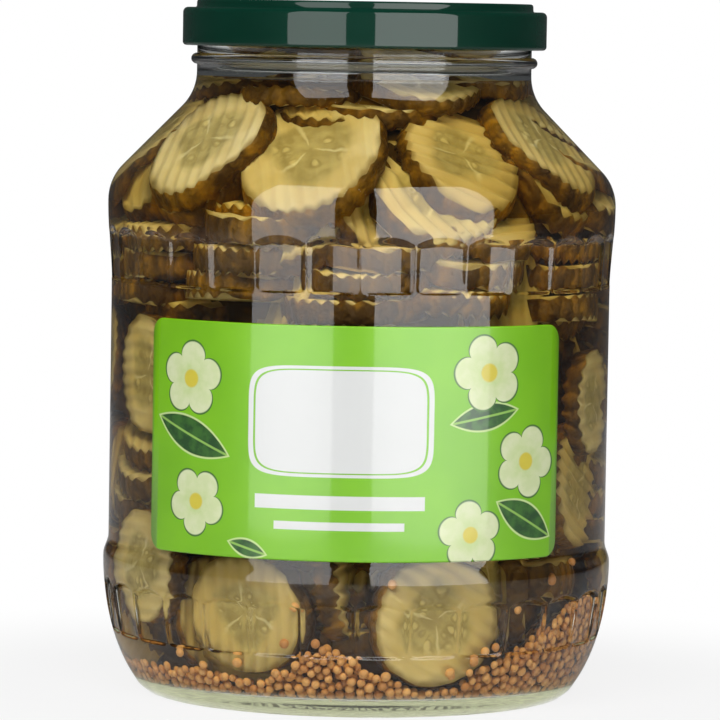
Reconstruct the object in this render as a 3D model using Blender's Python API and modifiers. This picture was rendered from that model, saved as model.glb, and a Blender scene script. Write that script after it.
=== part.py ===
"""A shut jar of crinkle-cut pickle slices: belted glass, metal lid, label, slices and mustard seeds.

Metres, +Z up. The origin is the middle of the foot that the jar stands on, and the label faces -Y.
"""

import math
import random

import bmesh
import bpy
from mathutils import Matrix, Vector

MM = 0.001

# The glass, from the foot up. Heights are above the foot and radii are from the jar's axis.
PUSH_UP = 3.4 * MM
FOOT_INNER_RADIUS = 49.0 * MM
FOOT_OUTER_RADIUS = 52.8 * MM
SEAM_RADIUS = 55.4 * MM
SEAM_HEIGHT = 2.2 * MM
HEEL_TOP = 34.2 * MM
LOWER_BULGE_RADIUS = 64.35 * MM
HEEL_DEPTH = 20.8 * MM  # radial half axis of the heel's elliptical curve
HEEL_RISE = 38.7 * MM  # upright half axis of the same curve
PANEL_RADIUS = 63.1 * MM
PANEL_BOTTOM = 39.2 * MM
PANEL_TOP = 101.7 * MM
UPPER_BULGE_RADIUS = 64.25 * MM
UPPER_BULGE_HEIGHT = 124.2 * MM
SHOULDER_CURVE = 12.6 * MM  # radius of the rounding above the bulge and below the neck
SHOULDER_SLOPE = 45.0
NECK_RADIUS = 42.3 * MM
NECK_BOTTOM = 156.9 * MM
BEAD_RADIUS = 43.8 * MM
BEAD_HEIGHT = 160.1 * MM
BEAD_HALF = 1.4 * MM
RIM_ROUNDING = 0.8 * MM
WALL = 3.0 * MM
FLOOR_EDGE = 5.0 * MM  # height of the inner floor beside the wall
FLOOR_CROWN = 6.6 * MM  # and at the jar's axis

# Two belts of flat windows run round the glass, one above the label and one in the heel.
WINDOWS = 30
WINDOW_BELTS = ((15.4 * MM, 28.6 * MM), (104.2 * MM, 117.0 * MM))
WINDOW_EDGE = 0.5 * MM
GLASS_SIDES = 2 * WINDOWS

# The lid rests on the glass's rim.
LID_RADIUS = 46.0 * MM
LID_SKIRT_BOTTOM = 163.4 * MM
LID_SHOULDER = 173.0 * MM
LID_TOP = 175.0 * MM
LID_RING_RADIUS = 42.5 * MM
LID_RING_WIDTH = 3.2 * MM
LID_PANEL_DROP = 1.6 * MM
LID_BUTTON_RADIUS = 13.0 * MM
LID_BUTTON_RISE = 0.4 * MM
LID_METAL = 0.6 * MM
LID_CURL = 1.5 * MM
LID_SIDES = 40
RIM_HEIGHT = LID_SHOULDER - LID_METAL - 0.3 * MM

# The label, a single sticker on the front of the panel
LABEL_BOTTOM = 39.3 * MM
LABEL_HEIGHT = 57.3 * MM
LABEL_HALF_ANGLE = 51.9
LABEL_AZIMUTH = -1.3
LABEL_CORNER = 4.0 * MM
LABEL_GAP = 0.3 * MM
LABEL_THICKNESS = 0.2 * MM
LABEL_COLUMNS = 26

# The slices and the seeds
CLEARANCE = 0.5 * MM
CORE_INSET = 8.2 * MM
CORE_BOTTOM = 11.0 * MM
CORE_TOP = 151.0 * MM
CORE_SIDES = 22
SLICE_THICKNESS = 6.6 * MM
SLICE_SIDES = 10
SLICE_TOP = 161.0 * MM
RIM_POINTS = 16
SEED_RADIUS = 1.15 * MM
SEED_BED = 9.0 * MM  # height of the seeds' bed, above the foot, under the slices
SEED_REACH = 50.0 * MM  # no seed lies as high as this
SEED_GAP = 0.4 * MM
SEED_COLUMNS = 72
SEED_JITTER = 0.6 * MM
LOOSE_SEEDS = 20
# Rings of the bed, from the middle of its top outwards and down: the height at its lowest, the share of the
# heap's rise above that, the distance from the wall, and the roughness.
SEED_ROWS = (
    (SEED_BED, 0, 13.0 * MM, 0),
    (SEED_BED, 0, 6.0 * MM, 0),
    (SEED_BED, 1.0, 3.5 * MM, 0.7 * MM),
    (SEED_BED, 0.72, SEED_GAP, 0.7 * MM),
    (SEED_BED, 0.36, SEED_GAP, 0.7 * MM),
    (8.5 * MM, 0, SEED_GAP, 0),
    (FLOOR_EDGE + SEED_GAP, 0, 5.2 * MM, 0),
)
RANDOM_SEED = 11

# Slices that show at the front: azimuth and height of the middle, lean of the face above level, turn of the
# face to the side, radius, and how deep it lies behind the wall, in degrees and millimetres.
FRONT_SLICES = (
    (-62, 34.1, 0, 0, 15.0, 0),
    (-27, 25.5, -5, -4, 15.8, 0),
    (-30, 22.6, -5, -4, 15.3, 6.9),
    (20, 24.6, -4, 3, 16.5, 0),
    (37, 31.0, 0, 10, 13.5, 6.0),
    (-4, 31.6, 8, 78, 14.0, 0),
    (-62, 81.6, 0, -6, 15.8, 0),
    (75, 75.6, 2, 8, 14.0, 0),
    (-72, 131.4, 42, -8, 16.0, 5.0),
    (-52, 136.2, 44, -2, 17.0, 0),
    (-52, 131.9, 44, -2, 17.0, 5.7),
    (-15.5, 133.8, 50, -14, 20.0, 0),
    (-24, 121.5, 46, -8, 18.5, 2.5),
    (30, 153.4, 70, 0, 16.0, 0),
    (10, 144.2, 86, 0, 17.0, 4.0),
    (-34, 148.0, 98, 0, 15.0, 1.0),
    (31, 132.6, 46, 10, 15.5, 5.0),
    (66, 136.4, 44, 4, 17.0, 0),
    (66, 131.4, 44, 4, 17.0, 5.2),
    (21, 124.6, 52, 8, 16.0, 0),
)

# Rows of slices round the rest of the wall: height of the middle, how many places, how likely it is that a
# place holds one slice that faces the wall and not a pile edge on, and how likely it is that a pile lies flat.
ROWS = ((27, 11, 0.6, 0.7), (55, 11, 0.4, 0.7), (83, 11, 0.45, 0.7), (110, 11, 0.0, 1.0), (134, 10, 0.5, 0.7))
# The stretches of each row, in degrees of azimuth, that the front slices and the deep seeds take up.
TAKEN = ((-75, 88), (-30, 30), (-72, 80), (-30, -20), (-76, 70))
PILE = 3  # slices to a pile
PILE_RISE = 8.2  # millimetres from one slice to the next in a lying pile
PILE_LEAN = 79  # lean of a lying pile's middle slice
PILE_FAN = 6  # degrees by which each slice of it leans less than the one below
PILE_TURN = 9  # degrees of azimuth from one to the next in a standing pile
PILE_SHIFT = 0.2  # millimetres that a lying pile is raised for each degree that it is swung
NECK_SLICES = ((-98, 151), (-150, 153), (120, 152), (75, 155))

COLOURS = {
    "glass_jar": ((0.80, 0.88, 0.84, 1.0), 0.05, 0.0),
    "lid": ((0.0, 0.13, 0.075, 1.0), 0.3, 0.0),
    "label": ((0.16, 0.52, 0.0, 1.0), 0.35, 0.0),
    "pickle_slices": ((0.52, 0.44, 0.20, 1.0), 0.5, 0.0),
    "mustard_seeds": ((0.55, 0.30, 0.11, 1.0), 0.6, 0.0),
}


def clear_scene():
    for obj in list(bpy.data.objects):
        bpy.data.objects.remove(obj)


def new_collection(name):
    collection = bpy.data.collections.new(name)
    bpy.context.scene.collection.children.link(collection)
    return collection


def finish_material(obj):
    """Gives the piece its own Principled material."""
    colour, roughness, metallic = COLOURS[obj.name]
    material = bpy.data.materials.new(obj.name)
    material.use_nodes = True
    shader = material.node_tree.nodes["Principled BSDF"]
    shader.inputs["Base Color"].default_value = colour
    shader.inputs["Roughness"].default_value = roughness
    shader.inputs["Metallic"].default_value = metallic
    obj.data.materials.clear()
    obj.data.materials.append(material)


def add_object(name, mesh, collection):
    obj = bpy.data.objects.new(name, mesh)
    collection.objects.link(obj)
    return obj


def mesh_of(bm, name):
    mesh = bpy.data.meshes.new(name)
    bm.to_mesh(mesh)
    bm.free()
    return mesh


def baked_mesh(obj):
    """The object's mesh with its modifiers applied."""
    bpy.context.view_layer.update()
    evaluated = obj.evaluated_get(bpy.context.evaluated_depsgraph_get())
    return bpy.data.meshes.new_from_object(evaluated)


def arc(centre, radii, start, end, steps):
    """Points (radius, height) on an elliptical arc, with angles in degrees from the outward direction."""
    points = []
    for step in range(steps + 1):
        angle = math.radians(start + (end - start) * step / steps)
        points.append((centre[0] + radii[0] * math.cos(angle), centre[1] + radii[1] * math.sin(angle)))
    return points


def turned(name, profile, sides, collection):
    """A closed turned body. The profile runs down its outer side."""
    bm = bmesh.new()
    vertices = [bm.verts.new((radius, 0, height)) for radius, height in profile]
    for first, second in zip(vertices, vertices[1:]):
        bm.edges.new((first, second))
    obj = add_object(name, mesh_of(bm, name), collection)
    screw = obj.modifiers.new("turn", "SCREW")
    screw.steps = screw.render_steps = sides
    screw.use_merge_vertices = True
    screw.merge_threshold = 0.00005
    screw.use_smooth_shade = False
    obj.data = baked_mesh(obj)
    obj.modifiers.clear()
    return obj


def heel_radius(height, inset):
    """Radius of the heel's elliptical curve, or of one parallel to it inside the wall."""
    share = (HEEL_TOP - height) / (HEEL_RISE - inset)
    return LOWER_BULGE_RADIUS - HEEL_DEPTH + (HEEL_DEPTH - inset) * math.sqrt(max(0.0, 1 - share * share))


def shoulder(inset, steps):
    """The shoulder from the bulge up to the neck: a rounding, a sloping cone and the opposite rounding."""
    bulge = UPPER_BULGE_RADIUS - inset
    outer_curve = SHOULDER_CURVE - inset
    inner_curve = SHOULDER_CURVE + inset
    middle = (bulge - outer_curve, UPPER_BULGE_HEIGHT)
    lower = arc(middle, (outer_curve, outer_curve), 0, SHOULDER_SLOPE, steps)
    neck = NECK_RADIUS - inset
    middle = (neck + inner_curve, NECK_BOTTOM)
    upper = arc(middle, (inner_curve, inner_curve), 180 + SHOULDER_SLOPE, 180, steps)
    return lower + upper


def outer_glass():
    """The glass's outer side, from the middle of the foot up to the rim."""
    points = [(0, PUSH_UP), (0.7 * FOOT_INNER_RADIUS, 0.8 * PUSH_UP), (FOOT_INNER_RADIUS, 0)]
    points += [(FOOT_OUTER_RADIUS, 0), (SEAM_RADIUS, SEAM_HEIGHT)]
    low, high = WINDOW_BELTS[0]
    heights = (6.0 * MM, 11.0 * MM, low, low + WINDOW_EDGE, (low + high) / 2, high - WINDOW_EDGE, high)
    points += [(heel_radius(height, 0), height) for height in heights]
    points.append((LOWER_BULGE_RADIUS - 0.2 * MM, 37.5 * MM))
    points += [(PANEL_RADIUS, PANEL_BOTTOM), (PANEL_RADIUS, PANEL_TOP)]
    low, high = WINDOW_BELTS[1]
    for height in (low, low + WINDOW_EDGE, high - WINDOW_EDGE, high):
        share = (height - PANEL_TOP) / (UPPER_BULGE_HEIGHT - PANEL_TOP)
        swell = 0.5 - 0.5 * math.cos(math.pi * share)
        points.append((PANEL_RADIUS + (UPPER_BULGE_RADIUS - PANEL_RADIUS) * swell, height))
    points += shoulder(0, 3)
    points += arc((NECK_RADIUS, BEAD_HEIGHT), (BEAD_RADIUS - NECK_RADIUS, BEAD_HALF), -90, 90, 3)
    points += [(NECK_RADIUS, RIM_HEIGHT - RIM_ROUNDING), (NECK_RADIUS - RIM_ROUNDING, RIM_HEIGHT)]
    return points


def inner_glass():
    """The glass's inner side, from the middle of the floor up to the rim."""
    points = [(0, FLOOR_CROWN), (heel_radius(FLOOR_EDGE, WALL) - 5 * MM, FLOOR_EDGE)]
    points += [(heel_radius(height, WALL), height) for height in (6.4 * MM, 11.0 * MM, 19.0 * MM)]
    straight = PANEL_RADIUS - WALL
    points += [(straight, HEEL_TOP), (straight, 113.7 * MM)]
    points += shoulder(WALL, 2)
    mouth = NECK_RADIUS - WALL
    points += [(mouth, RIM_HEIGHT - RIM_ROUNDING), (mouth + RIM_ROUNDING, RIM_HEIGHT)]
    return points


def inner_radius(height):
    """Radius of the glass's inner wall at a height."""
    wall = inner_glass()[1:]
    for (r0, z0), (r1, z1) in zip(wall, wall[1:]):
        if z0 <= height <= z1 and z1 > z0:
            return r0 + (r1 - r0) * (height - z0) / (z1 - z0)
    return wall[0][0] if height < wall[0][1] else wall[-1][0]


def make_glass(collection):
    """The jar itself, with its two belts of flat windows."""
    profile = inner_glass() + outer_glass()[::-1]
    obj = turned("glass_jar", profile, GLASS_SIDES, collection)
    pitch = 2 * math.pi / WINDOWS
    flat = math.cos(pitch / 2)
    edge = 0.1 * MM
    for vertex in obj.data.vertices:
        radius = math.hypot(vertex.co.x, vertex.co.y)
        in_belt = any(low + edge < vertex.co.z < high - edge for low, high in WINDOW_BELTS)
        if not in_belt or radius < inner_radius(vertex.co.z) + WALL / 2:
            continue
        turn = (math.atan2(vertex.co.x, -vertex.co.y) / pitch) % 1
        if 0.25 < turn < 0.75:  # the middle of a window
            vertex.co.x *= flat
            vertex.co.y *= flat
    return obj


def make_lid(collection):
    """A pressed metal lid: a raised ring round a lower panel with a button, and a skirt that ends in a curl."""
    ring_inner = LID_RING_RADIUS - LID_RING_WIDTH
    panel = LID_TOP - LID_PANEL_DROP
    under = LID_METAL
    outer = [
        (0, panel + LID_BUTTON_RISE),
        (LID_BUTTON_RADIUS - 1 * MM, panel + LID_BUTTON_RISE),
        (LID_BUTTON_RADIUS, panel),
        (ring_inner - 1.2 * MM, panel),
        (ring_inner, LID_TOP),
        (LID_RING_RADIUS - 0.6 * MM, LID_TOP),
        (LID_RING_RADIUS, LID_TOP - 0.5 * MM),
        (LID_RING_RADIUS + 0.1 * MM, LID_SHOULDER),
        (LID_RADIUS - 1.3 * MM, LID_SHOULDER),
        (LID_RADIUS - 0.35 * MM, LID_SHOULDER - 0.4 * MM),
        (LID_RADIUS, LID_SHOULDER - 1.3 * MM),
        (LID_RADIUS, LID_SKIRT_BOTTOM + 0.7 * MM),
        (LID_RADIUS - 0.5 * LID_CURL, LID_SKIRT_BOTTOM),
    ]
    inner = [
        (LID_RADIUS - LID_CURL, LID_SKIRT_BOTTOM + 0.7 * MM),
        (LID_RADIUS - under, LID_SKIRT_BOTTOM + 2.2 * MM),
        (LID_RADIUS - under, LID_SHOULDER - 1.6 * MM),
        (LID_RADIUS - 1.5 * MM, LID_SHOULDER - under),
        (LID_RING_RADIUS - under, LID_SHOULDER - under),
        (LID_RING_RADIUS - 1.2 * MM, LID_TOP - under),
        (ring_inner + 0.4 * MM, LID_TOP - under),
        (ring_inner - 0.9 * MM, panel - under),
        (0, panel - under),
    ]
    return turned("lid", outer + inner, LID_SIDES, collection)


def make_label(collection):
    """A thin sticker with rounded corners, bent round the panel."""
    inside = PANEL_RADIUS + LABEL_GAP
    half_width = math.radians(LABEL_HALF_ANGLE) * inside
    bm = bmesh.new()
    bmesh.ops.create_grid(bm, x_segments=LABEL_COLUMNS, y_segments=1, size=1.0)
    bmesh.ops.scale(bm, vec=(half_width, LABEL_HEIGHT / 2, 1), verts=bm.verts)
    corners = [v for v in bm.verts if abs(v.co.x) > 0.99 * half_width]
    rounding = {"offset": LABEL_CORNER, "segments": 3, "profile": 0.5, "affect": "VERTICES", "material": -1}
    bmesh.ops.bevel(bm, geom=corners, **rounding)
    centre = math.radians(LABEL_AZIMUTH)
    middle = LABEL_BOTTOM + LABEL_HEIGHT / 2
    for vertex in bm.verts:
        azimuth = vertex.co.x / inside + centre
        height = vertex.co.y + middle
        vertex.co = Vector((inside * math.sin(azimuth), -inside * math.cos(azimuth), height))
    bmesh.ops.triangulate(bm, faces=bm.faces)
    bmesh.ops.recalc_face_normals(bm, faces=bm.faces)
    if sum((f.normal.dot(f.calc_center_median()) for f in bm.faces)) < 0:
        bmesh.ops.reverse_faces(bm, faces=bm.faces)
    obj = add_object("label", mesh_of(bm, "label"), collection)
    solidify = obj.modifiers.new("paper", "SOLIDIFY")
    solidify.thickness = LABEL_THICKNESS
    solidify.offset = 1.0
    return obj


def outward(azimuth):
    """Level unit vector out of the jar, with azimuth 0 at the front and rising towards +X."""
    angle = math.radians(azimuth)
    return Vector((math.sin(angle), -math.cos(angle), 0))


def slice_at(azimuth, height, lean, turn, radius, depth=0.0):
    """A slice at the wall, or a depth inside it: its middle, the way that it faces and its radius."""
    out = outward(azimuth)
    facing = outward(azimuth + turn)
    angle = math.radians(lean)
    normal = (facing * math.cos(angle) + Vector((0, 0, math.sin(angle)))).normalized()
    across = normal.orthogonal().normalized()
    along = normal.cross(across)
    centre = out * (inner_radius(height) - depth) + Vector((0, 0, height))
    steps = [2 * math.pi * point / RIM_POINTS for point in range(RIM_POINTS)]
    spokes = [radius * (across * math.cos(step) + along * math.sin(step)) for step in steps]
    rim = [spoke + side * normal * SLICE_THICKNESS / 2 for spoke in spokes for side in (-1, 1)]
    floor = FLOOR_CROWN + CLEARANCE
    for _ in range(12):
        lowest = min((centre + point).z for point in rim)
        highest = max((centre + point).z for point in rim)
        centre.z += max(0.0, floor - lowest) - max(0.0, highest - SLICE_TOP)
        over = max((centre + p).xy.length - (inner_radius((centre + p).z) - depth - CLEARANCE) for p in rim)
        if over <= 0:
            break
        centre -= out * over
    return centre, normal, radius


def lay_slices():
    """Every slice that shows through the glass, front ones first."""
    draw = random.Random(RANDOM_SEED)
    slices = []
    for azimuth, height, lean, turn, radius, depth in FRONT_SLICES:
        slices.append(slice_at(azimuth, height * MM, lean, turn, radius * MM, depth * MM))
    for (height, places, facing_share, flat_share), (first, last) in zip(ROWS, TAKEN):
        for place in range(places):
            azimuth = -180 + 360 * (place + draw.uniform(0.35, 0.65)) / places
            radius = draw.uniform(14.0, 17.5) * MM
            faces = draw.random() < facing_share
            flat = draw.random() < flat_share
            tip = draw.uniform(-14, 14)
            swing = draw.uniform(-16, 16)
            if first < azimuth < last:
                continue
            lean = 40 if height > 125 else 0
            if faces:
                slices.append(slice_at(azimuth, height * MM, lean + tip, swing, radius))
                continue
            for level in range(PILE):
                step = level - (PILE - 1) / 2
                if flat:
                    middle = (height + PILE_RISE * step + PILE_SHIFT * swing) * MM
                    fanned = PILE_LEAN + tip - PILE_FAN * step
                    slices.append(slice_at(azimuth + 4 * step, middle, fanned, swing, radius))
                else:
                    middle = azimuth + PILE_TURN * step
                    slices.append(slice_at(middle, height * MM, tip, 90 + swing, radius))
    slices += [slice_at(azimuth, height * MM, 78, 0, 15.5 * MM) for azimuth, height in NECK_SLICES]
    return slices


def add_disc(name, place, swell, collection):
    """A plain disc for one slice, larger by swell all round where it serves as a cutter."""
    centre, normal, radius = place
    bm = bmesh.new()
    bmesh.ops.create_cone(
        bm,
        cap_ends=True,
        cap_tris=False,
        segments=SLICE_SIDES,
        radius1=radius + swell,
        radius2=radius + swell,
        depth=SLICE_THICKNESS + 2 * swell,
    )
    spin = Matrix.Rotation(0.37 * radius / MM, 4, "Z")
    bm.transform(Matrix.Translation(centre) @ normal.to_track_quat("Z", "Y").to_matrix().to_4x4() @ spin)
    return add_object(name, mesh_of(bm, name), collection)


def core_profile(swell):
    """The heap's middle, which the slices are stuck into, as a profile that runs down its outer side."""
    heights = (CORE_TOP, 145 * MM, 131 * MM, 120 * MM, 70 * MM, 30 * MM, 18 * MM, CORE_BOTTOM)
    points = [(0, CORE_TOP + 2 * MM + swell)]
    points += [(inner_radius(height) - CORE_INSET + swell, height) for height in heights]
    bottom = CORE_BOTTOM - swell
    points[-1] = (points[-1][0], bottom)
    return points + [(0, bottom)]


def combine(obj, operation, collection, solver="EXACT"):
    """Applies one Boolean with all of a collection, and removes the collection's objects."""
    boolean = obj.modifiers.new(operation.lower(), "BOOLEAN")
    boolean.operation = operation
    boolean.operand_type = "COLLECTION"
    boolean.collection = collection
    boolean.solver = solver
    obj.data = baked_mesh(obj)
    obj.modifiers.clear()
    for used in list(collection.objects):
        bpy.data.objects.remove(used)


def keep_main_body(obj):
    """Drops loose scraps and the walls of sealed hollows, so that one closed body is left."""
    bm = bmesh.new()
    bm.from_mesh(obj.data)
    unseen = set(bm.verts)
    islands = []
    while unseen:
        front = [unseen.pop()]
        island = set(front)
        while front:
            vertex = front.pop()
            reached = {edge.other_vert(vertex) for edge in vertex.link_edges} & unseen
            unseen -= reached
            island |= reached
            front += reached
        islands.append(island)
    main = max(islands, key=lambda island: max(v.co.x for v in island) - min(v.co.x for v in island))
    extra = [v for island in islands if island is not main for v in island]
    bmesh.ops.delete(bm, geom=extra, context="VERTS")
    bm.to_mesh(obj.data)
    bm.free()


def make_slices(collection, helpers):
    """The heap of slices: a turned core with every slice that shows fused on."""
    obj = turned("pickle_slices", core_profile(0), CORE_SIDES, collection)
    for number, place in enumerate(lay_slices()):
        add_disc("slice_%d" % number, place, 0, helpers)
    combine(obj, "UNION", helpers)
    keep_main_body(obj)
    return obj


def seed_level(azimuth):
    """Height of the seeds against the wall. They lie deepest at the right of the front."""
    deep = 17.5 * math.exp(-(((azimuth - 72) / 27) ** 2))
    hump = 7.0 * math.exp(-(((azimuth + 7) / 10) ** 2))
    side = 4.0 * math.exp(-(((azimuth - 165) / 40) ** 2)) + 4.0 * math.exp(-(((azimuth + 130) / 30) ** 2))
    return SEED_BED + (1.0 + deep + hump + side) * MM


def seed_ring(bm, row, jitter, draw):
    """One ring of the seeds' bed, as its edges. The jitter lifts or lowers the bed at each column."""
    base, share, from_wall, rough = row
    made = bmesh.ops.create_circle(bm, segments=SEED_COLUMNS, radius=1.0)
    for vertex, lift in zip(made["verts"], jitter):
        azimuth = math.degrees(math.atan2(vertex.co.x, -vertex.co.y))
        level = seed_level(azimuth) + lift
        height = base + share * (level - SEED_BED)
        radius = inner_radius(height) - from_wall - draw.uniform(0, rough)
        vertex.co = outward(azimuth) * radius + Vector((0, 0, height))
    return list({edge for vertex in made["verts"] for edge in vertex.link_edges})


def make_seeds(collection, helpers):
    """The bed of mustard seeds on the floor, heaped up against the wall, with a rough surface."""
    draw = random.Random(RANDOM_SEED)
    bm = bmesh.new()
    jitter = [draw.uniform(-SEED_JITTER, SEED_JITTER) for _ in range(SEED_COLUMNS)]
    rings = [seed_ring(bm, row, jitter, draw) for row in SEED_ROWS]
    for upper, lower in zip(rings, rings[1:]):
        bmesh.ops.bridge_loops(bm, edges=upper + lower)
    caps = bmesh.ops.holes_fill(bm, edges=rings[0] + rings[-1])["faces"]
    poked = bmesh.ops.poke(bm, faces=caps)["verts"]
    min(poked, key=lambda vertex: vertex.co.z).co.z = FLOOR_CROWN + SEED_GAP
    bmesh.ops.recalc_face_normals(bm, faces=bm.faces)
    obj = add_object("mustard_seeds", mesh_of(bm, "mustard_seeds"), collection)
    for number in range(LOOSE_SEEDS):
        azimuth = -180 + 360 * (number + draw.random()) / LOOSE_SEEDS
        level = seed_level(azimuth) + 0.2 * MM
        middle = outward(azimuth) * (inner_radius(level) - 2.6 * MM) + Vector((0, 0, level))
        bm = bmesh.new()
        bmesh.ops.create_icosphere(bm, subdivisions=1, radius=SEED_RADIUS, matrix=Matrix.Translation(middle))
        add_object("seed_%d" % number, mesh_of(bm, "seed"), helpers)
    combine(obj, "UNION", helpers, "MANIFOLD")
    turned("core_cutter", core_profile(SEED_GAP), CORE_SIDES, helpers)
    for number, place in enumerate(lay_slices()):
        if place[0].z < SEED_REACH:
            add_disc("cutter_%d" % number, place, SEED_GAP, helpers)
    combine(obj, "DIFFERENCE", helpers, "MANIFOLD")
    keep_main_body(obj)
    return obj


def main():
    clear_scene()
    jar = new_collection("pickle_jar")
    helpers = new_collection("helpers")
    pieces = [
        make_glass(jar),
        make_lid(jar),
        make_label(jar),
        make_slices(jar, helpers),
        make_seeds(jar, helpers),
    ]
    for piece in pieces:
        finish_material(piece)


main()
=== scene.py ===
"""The pickle jar's looks: clear glass and brine, crinkle-cut slices, mustard seeds, lid and label.

Metres, +Z up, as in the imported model. Azimuth 0 is the front of the jar, -Y, and it rises towards +X.
"""

import math
import random

import bmesh
import bpy
import numpy as np
from mathutils import Matrix, Vector, noise


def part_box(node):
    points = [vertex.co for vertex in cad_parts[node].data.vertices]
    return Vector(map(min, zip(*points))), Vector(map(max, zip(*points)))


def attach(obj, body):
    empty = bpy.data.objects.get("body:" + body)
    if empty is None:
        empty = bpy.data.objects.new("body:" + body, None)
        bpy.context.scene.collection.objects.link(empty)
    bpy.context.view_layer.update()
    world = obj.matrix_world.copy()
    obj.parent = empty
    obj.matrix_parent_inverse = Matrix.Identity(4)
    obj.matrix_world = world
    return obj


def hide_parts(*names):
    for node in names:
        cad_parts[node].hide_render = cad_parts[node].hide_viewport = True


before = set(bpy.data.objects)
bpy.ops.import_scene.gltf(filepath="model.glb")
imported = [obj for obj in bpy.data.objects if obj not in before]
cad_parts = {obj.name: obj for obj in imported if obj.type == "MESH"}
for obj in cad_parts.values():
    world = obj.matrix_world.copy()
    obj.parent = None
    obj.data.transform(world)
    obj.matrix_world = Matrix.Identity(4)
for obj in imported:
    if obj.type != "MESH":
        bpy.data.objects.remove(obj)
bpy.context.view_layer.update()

MM = 0.001
GLASS_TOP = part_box("glass_jar")[1].z
LID_LOW, LID_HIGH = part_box("lid")
LABEL_LOW, LABEL_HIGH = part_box("label")

# The glass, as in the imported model
PUSH_UP = 3.4 * MM
# Points on the push-up, as shares of the foot's inner radius and of the push-up's height
PUSH_UP_DOME = ((0, 1), (0.4, 0.95), (0.7, 0.8), (0.9, 0.45))
FOOT_INNER_RADIUS = 49.0 * MM
FOOT_OUTER_RADIUS = 52.8 * MM
SEAM_RADIUS = 55.4 * MM
SEAM_HEIGHT = 2.2 * MM
HEEL_TOP = 34.2 * MM
LOWER_BULGE_RADIUS = 64.35 * MM
HEEL_DEPTH = 20.8 * MM  # radial half axis of the heel's elliptical curve
HEEL_RISE = 38.7 * MM  # upright half axis of the same curve
PANEL_RADIUS = 63.1 * MM
PANEL_BOTTOM = 39.2 * MM
PANEL_TOP = 101.7 * MM
UPPER_BULGE_RADIUS = 64.25 * MM
UPPER_BULGE_HEIGHT = 124.2 * MM
SHOULDER_CURVE = 12.6 * MM
SHOULDER_SLOPE = 45.0
NECK_RADIUS = 42.3 * MM
NECK_BOTTOM = 156.9 * MM
BEAD_RADIUS = 43.8 * MM
BEAD_HEIGHT = 160.1 * MM
BEAD_HALF = 1.4 * MM
RIM_ROUNDING = 0.8 * MM
WALL = 3.0 * MM
FLOOR_EDGE = 5.0 * MM
FLOOR_CROWN = 6.6 * MM

# The pressed windows: 30 to a belt, each a shallow scoop with rounded corners
WINDOWS = 30
WINDOW_BELTS = ((15.4 * MM, 28.6 * MM), (104.2 * MM, 117.0 * MM))
WINDOW_HALF_WIDTH = 6.35 * MM
WINDOW_CORNER = 1.7 * MM
WINDOW_EDGE = 0.45 * MM
WINDOW_STEP = 0.2 * MM
WINDOW_HOLLOW = 55.0 * MM  # radius of the scoop's own curve
WINDOW_FOLLOW = 0.6  # how far a window follows the bulge that it is pressed into
WINDOW_BROW = 1.1 * MM  # how far the top of a window arches above its corners
WINDOW_BROW_SLOPE = 1.6 * MM
PRESSED_SPAN = (14 * MM, 124 * MM)  # heights between which the windows are pressed
COLUMNS_PER_WINDOW = 18
GLASS_COLUMNS = WINDOWS * COLUMNS_PER_WINDOW

GLASS_INDEX = 1.5
BRINE_INDEX = 1.34
BRINE_LEVEL = 155.7 * MM
BRINE_REACH = 0.4 * MM  # how far the brine reaches into the wall
BRINE_FLOOR_GAP = 0.02 * MM  # above the floor of the glass, so that the foot carries light
BRINE_FLOOR_EDGE = 6 * MM  # where the brine starts to reach into the wall
WETTED_LOW = 7 * MM  # where the wall's inside starts to be wet glass
BRINE_COLUMNS = 240

# The slices
CLEARANCE = 0.5 * MM
SLICE_THICKNESS = 6.6 * MM
SLICE_TOP = 161.0 * MM
RIM_POINTS = 16
SLICE_COLUMNS = 38
SLICE_ROWS = 4
CRINKLE_PITCH = 3.6 * MM
CRINKLE_DEPTHS = (0.45 * MM, 0.95 * MM)  # at the edge of a slice
CORE_INSET = 15.0 * MM
CORE_HEIGHTS = (151.0 * MM, 145 * MM, 131 * MM, 120 * MM, 70 * MM, 30 * MM, 18 * MM, 11.0 * MM)
CORE_COLUMNS = 120
RANDOM_SEED = 11

# The seeds
SEED_BED = 9.0 * MM
SEED_RADII = (0.95 * MM, 1.35 * MM)
SEED_LAYERS = (0.0, 1.3 * MM, 2.7 * MM)  # how deep behind the wall each layer starts
SEED_THROWS = 12000
SEED_SQUEEZE = 0.87  # how near two seeds may come, as a share of the sum of their radii

# The label's print, in millimetres from the middle of the label's bottom edge
LABEL_HALF_ANGLE = 51.9
LABEL_AZIMUTH = -1.3
LABEL_CORNER = 4.0 * MM
LABEL_THICKNESS = 0.25 * MM
LABEL_COLUMNS = 121

# The photograph's view
EYE = Vector((0.00015, -1.28, 0.1707))
AIM = Vector((0.00015, 0, 0.0842))
VIEW_ANGLE = 2 * math.atan(360 / 5050)
VIEW_ROLL = 0.95


# Mesh helpers


def outward(azimuth):
    """Level unit vector out of the jar at an azimuth in degrees."""
    angle = math.radians(azimuth)
    return Vector((math.sin(angle), -math.cos(angle), 0))


def azimuth_of(point):
    return math.degrees(math.atan2(point.x, -point.y))


def mesh_of(name, bm):
    mesh = bpy.data.meshes.new(name)
    bm.to_mesh(mesh)
    bm.free()
    return mesh


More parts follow.
